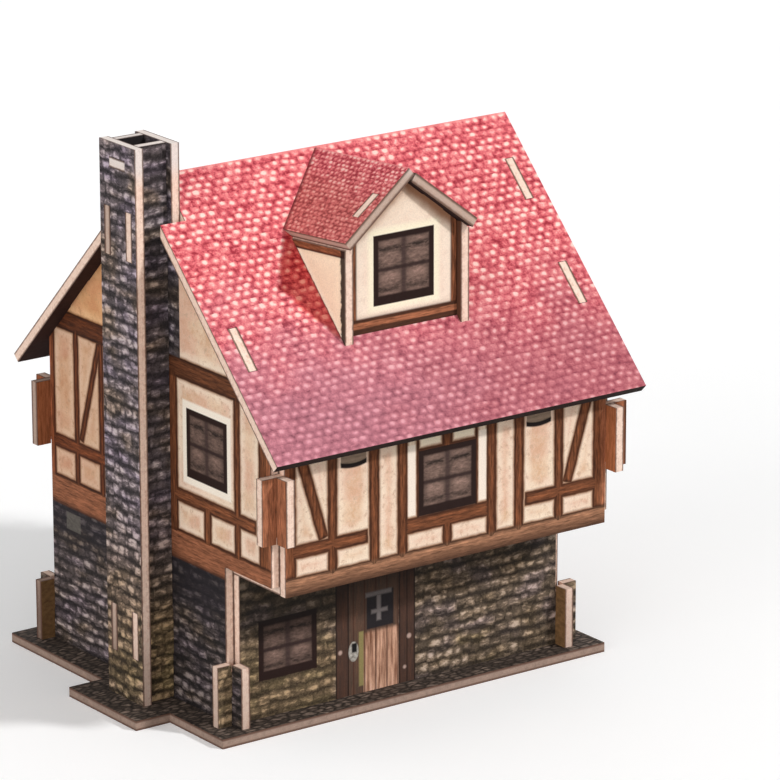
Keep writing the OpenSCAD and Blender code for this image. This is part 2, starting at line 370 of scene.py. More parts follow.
def timber_print(p, along, across, warm):
    """Painted timber: soft streaks of grain along the piece, from dark to light brown, and more
    orange where warm is 1."""
    grain = p.noise(along / 5, across / 0.5, 2.2, 3.0, 0.6)
    fine = p.noise(along / 1.6, across / 0.2, 7.7, 2.0, 0.55)
    bright = (grain - 0.5) * 1.9 + (fine - 0.5) + 0.5
    brown = p.ramp(bright, steps(p.inks.timber, 0.25, 0.6, 1.1, 1.9))
    orange = p.ramp(bright, steps(p.inks.beam, 0.3, 0.7, 1.1, 1.6))
    return p.mix(brown, orange, warm)


def plaster_print(p, u, v, edge):
    """Old plaster: cream, mottled in patches and pinker in some. edge is the distance to the
    timbers, which have a paler rim along them and a brown line against them."""
    pink, pale = ink(226, 174, 154), ink(255, 240, 220)
    mottled, line = ink(188, 150, 122), ink(146, 98, 66)
    stain_and_shadow = p.noise(u / 4.5, v / 4.5, 4.4, 3.0, 0.6)
    mottle = p.noise(u / 1.1, v / 1.3, 8.8, 3.0, 0.65)
    blush = p.noise(u / 9, v / 6, 2.6, 1.0)
    clean = p.rise(stain_and_shadow * 0.55 + mottle * 0.45, 0.36, 0.62)
    colour = p.mix(p.inks.plaster_dark, p.inks.plaster, clean)
    colour = p.mix(colour, pink, p.rise(blush, 0.4, 0.62) * 0.42)
    rim = p.rise(edge + (mottle - 0.5) * 4, 2.4, 0.8)
    colour = p.mix(colour, pale, rim * 0.5)
    colour = p.mix(colour, mottled, p.rise(mottle, 0.5, 0.8) * 0.7)
    return p.mix(line, colour, p.rise(edge, -0.1, 0.75))


def tile_print(p, u, s, length, dull=0.0):
    """Plain tiles in staggered courses down the slope s. A tile is an oval scale, out of place by
    chance: dark in the gaps round it, red on its shoulder, and as pale on its crown as it is worn.
    The print is brightest near the ridge, with a pale line along it, turns a duller mauve towards
    the eave at length, and browner down the slope by dull."""
    wide, gauge = p.sizes.tile, p.sizes.gauge
    u, s = wobble(p, u, s, 0.3, 1.7)
    row = s // gauge
    shifted = u / wide + (row % 2) * 0.5
    column = shifted // 1
    luck = p.chance(column + 0.5, row + 0.5)
    turn = p.chance(row + 7.5, column + 3.5)
    across = (shifted - column - 0.5 + (luck - 0.5) * 0.3) * wide
    fall = (s / gauge - row - 0.5 + (turn - 0.5) * 0.34) * gauge
    patch = p.noise(u / 3.6, s / 3.0, 3.9, 3.0, 0.65)
    weather = p.noise(u / 10, s / 8, 2.9, 3.0)
    grit = p.noise(u / 0.9, s / 0.7, 6.6, 3.0, 0.75)
    worn = p.rise(luck * 0.45 + patch * 0.8 + (weather - 0.5) * 0.5, 0.3, 0.8)
    low = p.rise(s + (weather - 0.5) * 26, length * 0.35, length * 0.9)
    scale = p.rise(oval(p, across, fall + 0.1, 1.1, 0.82) + (grit - 0.5) * 1.4, 1.4, 0.4)
    crown = p.rise(oval(p, across - 0.1, fall + 0.15, 0.7, 0.5) + (grit - 0.5) * 1.2, 1.4, 0.0)
    bright = scale * 0.27 + crown * worn * (0.7 - dull * 0.3) + (grit - 0.5) * 1.7
    bright = bright + (turn - 0.5) * 0.2 + (patch - 0.5) * 0.8 + 0.21
    contrast = 1.12 + dull * 0.25 - low * 0.37
    bright = (bright - 0.5) * contrast + 0.5
    by_ridge = p.ramp(bright, (p.inks.tile_dark, p.inks.tile, p.inks.tile_worn, p.inks.tile_spot))
    eave_worn, eave_spot = ink(200, 120, 126), ink(222, 160, 163)
    by_eave = p.ramp(bright, (p.inks.eave_dark, p.inks.eave, eave_worn, eave_spot))
    colour = p.mix(by_ridge, by_eave, low)
    colour = p.mix(colour, p.inks.tile_worn, p.rise(s, 0.7, 0.2) * 0.7)
    mauve = low * p.rise(u + (weather - 0.5) * 60, 30, -25)
    colour = p.mix(colour, ink(166, 114, 128), mauve * 0.5, "COLOR")
    brown = p.rise(s + (weather - 0.5) * 12, 0, 20) * dull
    colour = p.mix(colour, ink(172, 92, 82), brown * 0.5, "COLOR")
    return p.shade(colour, 1 - brown * 0.16 - dull * 0.05)


def paving_print(p):
    """Dark paving: uneven flags with worn pale crowns."""
    flag_w, flag_h, uneven = 2.4, 1.2, 0.9
    u, v = wobble(p, p.x, p.y, 0.6, 3)
    edges = p.cells(u / flag_w, v / flag_h, "DISTANCE_TO_EDGE", uneven)
    flags = p.cells(u / flag_w, v / flag_h, "F1", uneven)
    tone = p.split(flags.outputs["Color"])[0]
    grit = p.noise(u / 0.7, v / 0.5, 2.5, 3.0, 0.6)
    inside = p.rise(Field(p, edges.outputs["Distance"]), 0.0, 0.3)
    bright = inside * (0.2 + tone * 0.5) + (grit - 0.5) * 0.9 + 0.1
    return p.ramp(bright, steps(p.inks.paving, 0.15, 0.5, 1.0, 2.0, 3.4))


def inner_print(p, u, v):
    """The inner face of a wall, which shows on its tabs: brown timber above the ground storey
    and dark brown stone below."""
    wood = p.mix(timber_print(p, v, u, warm=0.85), ink(196, 112, 58), 0.3)
    stone = p.mix(ink(58, 41, 26), ink(168, 126, 82), p.noise(u / 1.3, v / 0.8, 8.1, 3.0, 0.6))
    return p.mix(stone, wood, over_stone(p, v))


def joist_end(p, u, v):
    """Grey end grain of the joists in the stone."""
    return p.mix(ink(70, 66, 62), ink(120, 114, 106), p.noise(u, v / 0.5, 1.1))


def over_stone(p, v):
    """0 on the stone of the ground storey and 1 above it."""
    return p.rise(v, STONE_TOP, STONE_TOP + 0.4)


def window_print(p, u, v, below, left, right, bottom, top, light=1.0):
    """A window drawn over the colour below: a near-black frame, a middle post and a cross bar, and
    dull panes. Each pane has painted reflections: a paler middle, a dark and a pale streak towards
    the top or bottom of the frame, and a pale one under the cross bar."""
    frame_w = 0.95
    sill_w = 1.7 * frame_w
    middle_u, middle_v = (left + right) / 2, (bottom + top) / 2
    reach_u, reach_v = (right - left) / 2 - frame_w, (top - bottom) / 2 - frame_w
    glass = block(p, u, v, left + frame_w, right - frame_w, bottom + sill_w, top - frame_w)
    off_u, off_v = abs(u - middle_u), abs(v - middle_v)
    out_u, out_v = off_u / reach_u, off_v / reach_v
    pane_u, pane_v = 0.52, 0.36
    smear = p.noise(u / 1.3, v / 0.55, 6.1, 3.0, 0.65)
    bulge_u, bulge_v = (out_u - pane_u) * 1.9, (out_v - pane_v) * 2.6
    bulge = p.rise(bulge_u * bulge_u + bulge_v * bulge_v, 1.0, 0.0)
    wide = p.rise(abs(out_u - pane_u) + (smear - 0.5), 0.5, 0.2)
    under = p.rise(v - middle_v, 0.4, -0.4)

    def streak(at, reach):
        """1 on a level streak that lies at a share of the way out from the cross bar."""
        return p.rise(abs(out_v - at), reach, 0.0) * wide

    # The paler middle and the streaks are painted reflections on the glass
    bright = 0.36 + bulge * 0.22 + (smear - 0.5)
    bright = bright - streak(0.66, 0.16) * (0.28 - under * 0.12)
    bright = bright + streak(0.84, 0.17) * 0.26
    bright = bright + streak(0.22, 0.25) * under * 0.16
    shares = [share * light for share in (0.1, 0.4, 0.8, 1.4, 2.4)]
    pane = p.ramp(bright, steps(ink(123, 99, 89), *shares))
    pane = p.mix(pane, ink(62, 46, 44), p.rise(off_u, 0.9, 0.2) * 0.75)
    pane = p.mix(pane, ink(42, 27, 26), p.rise(off_v, 0.65, 0.1) * 0.85)
    drawn = p.mix(pane, DARK_WOOD, p.rise(glass, -0.55, 0.0))
    return fill(p, below, drawn, block(p, u, v, left, right, bottom, top))


# The card itself


def cut_card(p, printed, back, normal, face, aged):
    """Shows the print on the face that looks along normal, the back colour on the other one, and
    bare board on the cut edges: pale pulp in thin layers between two browned skins, browner by aged
    and near the table, grey white at the chimney's rim, and nearly black where the edge looks down.
    The print lies at face, in millimetres along normal, and the board is CARD thick behind it."""
    soiled, ashen = ink(126, 104, 92), ink(232, 226, 222)
    browned, unlit = ink(84, 54, 42), ink(30, 16, 12)
    rim = corner("chimney_outer", 1)[2]
    depth = face - p.along(normal)
    fibre = p.noise(p.x / 0.9, p.y / 0.9, p.z / 0.9, 3.0, 0.65)
    layer = p.noise(depth / 0.3, 0.0, fibre * 1.5, 1.0)
    board = p.mix(p.inks.edge_dark, p.inks.edge, p.rise(fibre * 0.6 + layer * 0.4, 0.34, 0.6))
    worn = p.rise(p.z, 22, 6) * 0.45 + aged
    board = p.mix(board, soiled, worn * (0.6 + fibre * 0.6))
    board = p.mix(board, ashen, p.rise(p.z, rim - 8.2, rim - 3.2) * 0.75)
    skin = p.rise(p.low(depth, CARD - depth) + (fibre - 0.5) * 0.2, 0.4 + aged * 0.5, 0.14)
    board = p.mix(board, browned, skin * 0.85)
    board = p.mix(board, unlit, p.rise(p.facing((0, 0, 1)), -0.62, -0.7))
    facing = p.facing(normal)
    colour = p.mix(board, printed, p.rise(facing, 0.55, 0.85))
    return p.mix(colour, back, p.rise(facing, -0.55, -0.85)), fibre


def surface(p, printed, back, normal, face, aged):
    """The finish of one panel: its colour with the grain of the print, a matt sheen and the faint
    tooth of the card."""
    tooth_depth = 0.02
    colour, fibre = cut_card(p, printed, back, normal, face, aged)
    tooth = p.noise(p.x / 0.25, p.y / 0.25, p.z / 0.25)
    colour = p.shade(colour, 0.8 + tooth * 0.4)
    return p.finish(colour, 0.68 + fibre * 0.25, tooth * 0.6 + fibre * 0.4, tooth_depth)


# Wall layouts, in millimetres from the wall's middle and above the table. A rectangle has a left,
# right, bottom and top, and a brace two ends and a width


def framed(p, u, v, uprights, rails, braces, warm_top):
    """Timber framing over plaster. uprights and rails are rectangles, braces are bars; the timbers
    get dark outlines, the corner posts are more orange, and what lies below warm_top is the orange
    beam."""
    u, v = wobble(p, u, v, 0.16, 2.2)
    posts = [block(p, u, v, *box) for box in uprights]
    standing = p.low(*posts, *[bar(p, u, v, *line) for line in braces])
    lying = p.low(*[block(p, u, v, *box) for box in rails])
    corner_post = p.rise(abs(u), 36.8, 38.6)
    below_top = p.rise(v, warm_top + 0.2, warm_top - 0.2)
    upright_wood = timber_print(p, v, u, corner_post * 0.75 + 0.12)
    level_wood = timber_print(p, u, v, below_top * 0.8 + 0.2)
    wood = p.mix(upright_wood, level_wood, p.rise(standing - lying, -0.1, 0.1))
    near = p.low(standing, lying)
    wood = p.mix(wood, OUTLINE, p.rise(near, -0.85, 0.0) * 0.85)
    return fill(p, plaster_print(p, u, v, near), wood, near, 0.25, 0.15)


def front_upper_print(p):
    """The jettied front, alike to both sides of the window in its middle, with pale plaster close to
    the window, brightened above it as painted light against the eave's shadow, and a sagging joist end
    under the eave. The beam darkens towards its foot."""
    u, v = abs(p.x + 0.35), p.z
    foot, beam_top = 34, 35.6
    studs = ((26.2, 28.2), (16.3, 18.5), (9.6, 11.8))
    uprights = [(*stud, foot, PAST_EAVE) for stud in studs]
    uprights += [(35.8, PAST_EDGE, beam_top, PAST_EAVE), (6.8, 7.3, 42, PAST_EAVE)]
    uprights += [(-1.0, 1.0, foot, 41), (-1.2, 1.2, 54, 60)]
    rails = [
        (-PAST_EDGE, PAST_EDGE, 30, beam_top),
        (19.0, 37, 39.4, 42.0),
        (-10, 10, 39.2, 42.2),
        (-PAST_EDGE, PAST_EDGE, 58.4, PAST_EAVE),
        (-7, 7, 54.8, 55.8),
    ]
    braces = [((34.2, 58.5), (29.3, 42.3), 2.2)]
    colour = framed(p, u, v, uprights, rails, braces, beam_top - 0.2)
    # Pale plaster above the window, brightened further as painted light against the eave's shadow
    over_window = block(p, u, v, 1.6, 6.4, 56.3, 58.1)
    colour = fill(p, colour, ink(255, 240, 214), over_window, 0.2, 0.4, share=0.9)
    beside_window = block(p, u, v, 7.5, 9.5, 42.6, 57)
    colour = fill(p, colour, ink(252, 238, 224), beside_window, 0.1, 0.3, share=0.85)
    joist_u = 22.2
    joist_left, joist_right = joist_u - 3, joist_u + 3
    sagging = v - 0.05 * (u - joist_u) * (u - joist_u)
    end_grain = p.mix(ink(112, 94, 78), ink(176, 152, 132), p.noise(u / 2, v / 0.5, 1.1))
    colour = fill(p, colour, end_grain, block(p, u, sagging, joist_left, joist_right, 55.6, 58.6))
    under = block(p, u, sagging, joist_left, joist_right, 55.1, 56.0)
    colour = fill(p, colour, ink(24, 14, 12), under, 0.2, 0.15)
    colour = p.mix(colour, ink(126, 98, 76), p.rise(v, beam_top + 0.4, beam_top - 0.4) * 0.5, "COLOR")
    colour = p.mix(colour, ink(56, 34, 24), p.rise(v, beam_top, beam_top - 4) * 0.88)
    return window_print(p, p.x, v, colour, -7.2, 6.6, 42.2, 55.4)


def front_lower_print(p):
    """Rubble stone with a window and a boarded door, darkened by painted shade under the jetty. The
    stone to the left of the door is softer, and brown and mossy low down."""
    u, v = p.x, p.z
    left_of_door = p.rise(u, -12, -18)
    mossy_foot = p.rise(abs(u - 17), 7, 4) * p.rise(v, 11, 8)
    moss = p.high(p.rise(u, -15, -18), mossy_foot)
    light = p.rise(u, -36.5, -37.5) * 0.25 + 1.0
    damp = left_of_door * p.rise(v, 22, 12)
    soft = left_of_door * 0.35 + 0.5
    colour = stone_print(p, u, v, p.inks.stone_warm, soft, light, damp, moss)
    colour = p.mix(colour, ink(104, 88, 70), 0.45, "COLOR")
    colour = window_print(p, u, v, colour, -34.2, -20.4, 9.6, 21.9, light=0.74)
    colour = door_print(p, u, v, colour)
    # Painted shade under the jetty, which reaches lower to the left of the door
    lit = p.rise(v + p.rise(u, -10, -18) * 3.5, 27, 18)
    return p.shade(colour, lit * 0.72 + 0.28)


def door_print(p, u, v, below):
    """The door drawn over the colour below: grey boards between dark posts, tan in the lower half
    with an olive strip beside it, a barred hatch, a lock plate, and pale knobs on the posts."""
    left, right, half_up, head, board_w = -12.9, -0.6, 14.8, 30, 2.7
    planks = timber_print(p, v, u, warm=0.0)
    grain = p.noise(u / 0.6, v / 8, 3.3, 3.0, 0.6)
    bright = (grain - 0.5) * 1.5 + 0.5 + p.rise(v, 12, 2) * 0.12
    tans = (ink(96, 62, 48), ink(126, 86, 66), ink(202, 156, 130), ink(244, 202, 180))
    lower_half = p.rise(v, half_up, half_up - 1) * p.rise(u, -9.4, -9.0)
    boards = p.mix(p.mix(planks, ink(80, 68, 60), 0.74), p.ramp(bright, tans), lower_half)
    olive_strip = block(p, u, v, -10.3, -9.2, 3.5, half_up)
    boards = fill(p, boards, ink(150, 138, 88), olive_strip, 0.2, 0.2, share=0.8)
    off_middle = abs((u + 8.9) % board_w - board_w / 2)
    boards = p.mix(boards, ink(70, 44, 34), p.rise(off_middle, 1.05, 1.3) * 0.75)
    colour = fill(p, below, boards, block(p, u, v, left, right, 0, head))
    posts = p.low(block(p, u, v, left - 3, left + 0.2, 0, head), block(p, u, v, right, 3.4, 0, head))
    wood = p.mix(planks, ink(66, 51, 45), 0.82)
    wood = p.mix(wood, ink(30, 20, 17), p.rise(abs(posts + 1.1), 0.55, 1.0) * 0.9)
    colour = fill(p, colour, wood, posts)
    hatch = block(p, u, v, -8.4, -1.9, 14.9, 22.4)
    colour = fill(p, colour, ink(34, 30, 32), hatch, 0.2, 0.2)
    cross = p.low(block(p, u, v, -5.9, -5.0, 16.4, 21.6), block(p, u, v, -7.2, -3.4, 18.0, 18.7))
    lintel = block(p, u, v, -8.6, -2.4, 21.6, 22.4)
    colour = fill(p, colour, ink(126, 118, 116), p.low(cross, lintel), 0.35, 0.25, share=0.85)
    plate = oval(p, u + 11.6, v - 11.0, 1.25, 2.1)
    metal = p.mix(ink(84, 76, 70), ink(206, 200, 190), p.noise(u / 0.6, v / 0.6, 1.9) * 1.4 - 0.2)
    colour = p.mix(colour, metal, p.rise(plate, 1.05, 0.9))
    keyhole = block(p, u, v, -11.9, -10.9, 10.9, 12.6)
    colour = fill(p, colour, ink(14, 11, 12), keyhole, 0.3, 0.1)
    places = ((-14.8, 11.4, 0.5), (1.9, 11.5, 0.55), (0.8, 5.2, 0.4))
    knobs = p.low(*[spot(p, u, v, *place) for place in places])
    return fill(p, colour, ink(184, 156, 144), knobs, 0.2, 0.3)


def gable_print(p, u, v, side):
    """A gable: stone below, a beam, a row of small panels, a rail, tall panels, the tie beam and
    plaster up to the ridge. The left one has its window in the upper storey, and stone behind the
    chimney above the tie beam; the right one has a small window in the triangle."""
    left = side == "left"
    foot, beam_top, tie_foot, tie_top, post_top = 36, 37.4, 68.3, 72.2, 70
    studs = ((-PAST_EDGE, -36.8), (-29.6, -28.0), (-20.6, -19.0), (3.4, 7.1), (26.5, 28.4))
    uprights = [(*stud, foot, post_top) for stud in studs]
    uprights += [(16.1, 18.5, foot, 45), (34.8, PAST_EDGE, 37, post_top)]
    braces = [((-20.4, 68), (-27.3, 46.5), 1.5)]
    if not left:
        uprights += [(a, a + 2, foot, post_top) for a in (-12.2, -2.4, 16.3)]
        braces += [((-36.6, 66), (-31, 46.5), 1.5), ((34.4, 66), (29.4, 46.5), 1.5)]
    rails = [
        (-PAST_EDGE, PAST_EDGE, STONE_TOP, beam_top),
        (-38, 33.6, 43.2, 45.9),
        (-50, 50, tie_foot, tie_top),
    ]
    colour = framed(p, u, v, uprights, rails, braces, 36.8)
    on_tie = p.rise(abs(v - 70.2), 2.2, 1.9)
    on_beam = p.rise(v, beam_top + 0.2, beam_top - 0.2)
    colour = p.shade(colour, 1 - p.high(on_tie, on_beam * 0.75) * 0.4)
    if left:
        # Painted shade on the back half of this gable, behind the chimney: duller below the tie beam
        # and yellower above it
        duller_shade = p.mix(colour, ink(232, 214, 202), 1.0, "MULTIPLY")
        yellower_shade = p.mix(colour, ink(244, 216, 182), 1.0, "MULTIPLY")
        shaded_back = p.mix(duller_shade, yellower_shade, p.rise(v, 70, 72))
        back_half = p.rise(u, 4, -4)
        colour = p.mix(colour, shaded_back, back_half * p.rise(v, 37.0, 37.6))
        rim = block(p, u, v, 9.0, 25.4, 47.5, 64.3)
        colour = fill(p, colour, ink(255, 244, 228), rim, 0.3, 0.3, share=0.95)
        colour = window_print(p, u, v, colour, 10.3, 24.1, 48.9, 62.8, light=0.75)
        flue = p.low(8.4 - abs(u), v - tie_top)
        behind = stone_print(p, u, v, p.inks.stone, soft=0.3, light=0.75)
        colour = p.mix(colour, behind, p.rise(flue, -0.1, 0.1))
    else:
        rim = block(p, u, v, -6.3, 6.3, 75.5, 88.1)
        colour = fill(p, colour, ink(250, 232, 214), rim, 0.3, 0.3, share=0.9)
        colour = window_print(p, u, v, colour, -5.3, 5.3, 76.5, 87.1, light=0.8)
    longer, lower = 1.2, 1.1
    stone = stone_print(p, u / longer, v * lower, p.inks.stone, soft=0.15, light=1.02, damp=0.2)
    if left:
        stone = p.shade(stone, back_half * 0.4 + 0.5)
    # Painted shade darkens the stone towards the beam above it
    stone = p.mix(stone, BEAM_SHADE, p.rise(v, 19, 27) * 0.8)
    joists = block(p, abs(u), v, 28.3, 33.4, 26.6, 30.2)
    stone = fill(p, stone, joist_end(p, u, v), joists, 0.15, 0.15, share=0.8)
    colour = p.mix(colour, ink(58, 34, 24), p.rise(v, 32.4, 31.6) * 0.6)
    return p.mix(stone, colour, over_stone(p, v))


def back_print(p):
    """The back, alike to both sides of its middle post: stone below with joist ends, and framing
    with braces above."""
    u, v = abs(p.x), p.z
    foot = 34
    studs = ((26.3, 28.5), (16.3, 18.7), (7.2, 9.4), (-1.1, 1.1))
    uprights = [(*stud, foot, PAST_EAVE) for stud in studs]
    uprights.append((36.2, PAST_EDGE, 30, PAST_EAVE))
    rails = [
        (-PAST_EDGE, PAST_EDGE, STONE_TOP, 37.4),
        (-PAST_EDGE, PAST_EDGE, 43.2, 45.9),
        (-PAST_EDGE, PAST_EDGE, 59.5, PAST_EAVE),
    ]
    braces = [((34.6, 60), (29.8, 46), 2.0), ((15.4, 60), (10.6, 46), 2.0)]
    colour = framed(p, u, v, uprights, rails, braces, 36.8)
    stone = stone_print(p, p.x, v, p.inks.stone, soft=0.5, light=0.95, damp=0.3, moss=0.3)
    # Painted shade darkens the stone towards the beam above it
    stone = p.mix(stone, BEAM_SHADE, p.rise(v, 21, 28) * 0.8)
    joist_gap = 24
    along = abs((p.x + 60) % joist_gap - joist_gap / 2) - 2.5
    joists = p.high(along, abs(v - 28.4) - 1.8)
    stone = fill(p, stone, joist_end(p, p.x, v), joists, 0.15, 0.15, share=0.8)
    return p.mix(stone, colour, over_stone(p, v))


# The dormer


def dormer_painted_shadow(p, slope):
    """Painted shadow of the dormer on the tiles along its left cheek, a rusty darkening that is 1
    inside it.
    It is widest halfway down the cheek and narrows to nothing at both ends."""
    cheek = corner("dormer_cheek_left", 0)[0]
    middle, widest, taper = 29.2, 8.2, 0.62
    shake = (p.noise(p.x / 2, slope / 2, 5.3) - 0.5) * 3
    reach = p.x + shake - abs(slope - middle) * taper
    return p.rise(reach, cheek - widest - 0.7, cheek - widest + 0.9) * p.rise(p.x, cheek + 3, cheek)


def outside(p, node, towards):
    """Distance outside the broad face of a piece that looks towards a direction."""
    normal, face = broad_face(node, towards)
    return p.along(normal) - face


def under_dormer(p, *panels):
    """Distance below the underside of the dormer's roof panels, square to them."""
    return p.low(*[-CARD - outside(p, *panel) for panel in panels])


def dormer_front_print(p):
    """The dormer's front: plaster with a bright surround round the window, brown painted shade under
    the roof and brown posts and sill along its edges."""
    low, high = corner("dormer_front", 0), corner("dormer_front", 1)
    u, v = p.x - (low[0] + high[0]) / 2, p.z
    post_u, sill_v = 12, 80.2
    under = under_dormer(p, *DORMER_ROOFS)
    edge = p.low(post_u - abs(u), v - sill_v)
    colour = p.mix(plaster_print(p, u, v, edge * 0.6), ink(255, 238, 220), 0.6)
    surround = block(p, u, v, -8.2, 8.2, 81.4, 97.2)
    colour = fill(p, colour, ink(255, 244, 216), surround, 1.0, 0.4, share=0.9)
    # Brown painted shade under the dormer's roof
    glow = p.rise(under + (p.noise(u / 2, v / 2, 6.3) - 0.5), 3.0, 0.5)
    colour = p.mix(colour, ink(150, 96, 60), glow * 0.9)
    side = abs(u)
    posts = timber_print(p, v, side, warm=0.3)
    posts = p.mix(posts, ink(48, 26, 18), p.rise(abs(side - post_u), 0.35, 0.7) * 0.7)
    colour = p.mix(colour, posts, p.rise(side, 10.9, 11.5))
    sill = timber_print(p, u, v, warm=0.8)
    sill = p.mix(sill, ink(52, 30, 20), p.rise(abs(v - 78.9), 0.4, 0.75) * 0.9)
    colour = p.mix(colour, sill, p.rise(v, 80.5, 80.0))
    return window_print(p, u, v, colour, -7.2, 7.2, 82.2, 96.2)


def cheek_print(p, node, roof):
    """A dormer cheek: plaster between a brown beam under the roof and a dark, uneven front edge,
    with a bright border and a brown line of painted shade along the slope that it stands on."""
    u, v = p.y - corner(node, 0)[1], p.z
    under, above = under_dormer(p, roof), outside(p, *ROOF_FRONT)
    shake = (p.noise(u / 0.9, v / 0.9, 5.5, 2.0) - 0.5) * 1.3
    colour = plaster_print(p, u, v, p.low(u - 1.4, under - 1.2))
    colour = p.mix(colour, ink(252, 240, 208), 0.8)
    colour = p.mix(colour, ink(255, 244, 218), p.rise(above + shake * 0.5, 1.8, 0.7) * 0.85)
    # A brown line of painted shade where the cheek meets the roof
    colour = p.mix(colour, ink(92, 52, 38), p.rise(above + shake * 0.3, 0.4, 0.1))
    beam = timber_print(p, u, v, warm=0.3)
    beam = p.mix(beam, ink(58, 32, 24), p.rise(under, 0.8, 1.1) * 0.8)
    colour = p.mix(colour, beam, p.rise(under, 1.35, 1.15))
    return p.mix(colour, DARK_WOOD, p.rise(u + shake, 1.6, 1.1) * 0.95)


# Putting a finish on a piece


def print_panel(node, towards, slot, draw, aged=0.0):
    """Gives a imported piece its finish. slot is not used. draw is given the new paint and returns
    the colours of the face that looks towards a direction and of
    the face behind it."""
    p = Paint(node + "_print")
    printed, back = draw(p)
    normal, face = broad_face(node, towards)
    piece = NODES[node]
    piece.data.materials.clear()
    piece.data.materials.append(surface(p, printed, back, normal, face, aged))


# Settings


def ink_setting(name, description, *tone):
    """A colour that can be set, given as 0 to 255 display values."""
    limits = {"subtype": "COLOR", "min": 0, "max": 1}
    return FloatVectorProperty(name=name, description=description, default=ink(*tone), **limits)


def size_setting(name, description, least, most, start):
    """A size that can be set, in millimetres."""
    description += ", in millimetres"
    return FloatProperty(name=name, description=description, min=least, max=most, default=start)


class CARDHOUSE_PG_inks(bpy.types.PropertyGroup):
    """Colours of the prints and of the bare board."""

    plaster: ink_setting("Plaster", "Clean plaster between the timbers", 244, 216, 188)
    plaster_dark: ink_setting("Stained plaster", "Stains in the plaster", 220, 178, 144)
    timber: ink_setting("Timber", "Posts, studs and braces", 112, 64, 37)
    beam: ink_setting("Beam", "The orange beam above the ground storey", 176, 112, 80)
    stone: ink_setting("Stone", "Middle tone of the rubble of the chimney and the gables", 100, 90, 92)
    stone_warm: ink_setting("Front stone", "Middle tone of the rubble beside the door", 102, 88, 77)
    moss: ink_setting("Moss", "Olive growth near the ground", 124, 107, 74)
    tile: ink_setting("Tile", "Red of the roof tiles near the ridge", 221, 101, 109)
    tile_dark: ink_setting("Tile gap", "Gaps between the tiles near the ridge", 158, 46, 60)
    tile_worn: ink_setting("Worn tile", "Worn shoulders of the tiles near the ridge", 242, 152, 149)
    tile_spot: ink_setting("Tile crown", "Pale crowns of the most worn tiles", 254, 216, 204)
    eave: ink_setting("Eave", "Duller red that the tiles turn to at the eave", 168, 88, 98)
    eave_dark: ink_setting("Eave gap", "Gaps between the tiles at the eave", 120, 50, 66)
    paving: ink_setting("Paving", "Dark flags of the base", 88, 76, 68)
    edge: ink_setting("Cut edge", "Pale board at the cut edges", 248, 220, 202)
    edge_dark: ink_setting("Dark cut edge", "Darker fibres in the cut edges", 226, 190, 170)


class CARDHOUSE_PG_sizes(bpy.types.PropertyGroup):
    """Sizes of the printed patterns, in millimetres on the card."""

    course: size_setting("Course", "Height of a course of stone", 1, 5, 2.4)
    stone: size_setting("Stone", "Usual length of a stone", 1, 8, 2.5)
    tile: size_setting("Tile", "Width of a roof tile", 1, 5, 2.2)
    gauge: size_setting("Gauge", "Height of a course of tiles", 1, 4, 1.65)


# Steps that dress the model


class CARDHOUSE_OT_walls(bpy.types.Operator):
    """Print the front, back and gable walls"""

    bl_idname = "card_house.walls"
    bl_label = "Print walls"

    def execute(self, context):
        def upper(p):
            return front_upper_print(p), inner_print(p, p.x, p.z)

        def lower(p):
            return front_lower_print(p), inner_print(p, p.x, p.z)

        def behind(p):
            # Painted shade: the inner face, which shows on the tabs, is a darker copy of the inner
            # print
            return back_print(p), p.shade(inner_print(p, p.x, p.z), 0.72)

        def left(p):
            stack_foot = 98
            flue = stone_print(p, p.y, p.z, p.inks.stone, soft=0.3)
            in_stack = p.rise(p.z, stack_foot - 0.2, stack_foot + 0.2)
            inside = p.mix(inner_print(p, p.y, p.z), flue, in_stack)
            return gable_print(p, -p.y, p.z, "left"), inside

        def right(p):
            return gable_print(p, p.y, p.z, "right"), inner_print(p, p.y, p.z)

        print_panel("front_wall_upper", (0, -1, 0), "timber_card", upper)
        print_panel("front_wall_lower", (0, -1, 0), "stone_card", lower)
        print_panel("back_wall", (0, 1, 0), "timber_card", behind, aged=0.7)
        print_panel("gable_wall_left", (-1, 0, 0), "timber_card", left)
        print_panel("gable_wall_right", (1, 0, 0), "timber_card", right)
        return {"FINISHED"}


class CARDHOUSE_OT_roof(bpy.types.Operator):
    """Print the two roof panels with tiles"""

    bl_idname = "card_house.roof"
    bl_label = "Print roof"

    def execute(self, context):
        for panel, mate in ((ROOF_FRONT, ROOF_BACK), (ROOF_BACK, ROOF_FRONT)):
            _, down, start = roof_slope(*panel, *mate)
            length = (corner(panel[0], 1)[2] - corner(panel[0], 0)[2]) / -down.z

            def tiled(p):
                slope = p.along(down) - start
                printed = tile_print(p, p.x, slope, length)
                if panel is ROOF_FRONT:
                    # Painted shadow of the dormer: a redder darkening multiplied over the tiles
                    stain_and_shadow = dormer_painted_shadow(p, slope)
                    printed = p.mix(printed, ink(238, 184, 174), stain_and_shadow, "MULTIPLY")
                # The dark brown underside is partly painted shade under the roof
                under = p.mix(ink(62, 36, 30), ink(34, 20, 18), p.noise(p.x / 3, slope / 0.5))
                return printed, under

            print_panel(*panel, "tile_card", tiled)
        return {"FINISHED"}


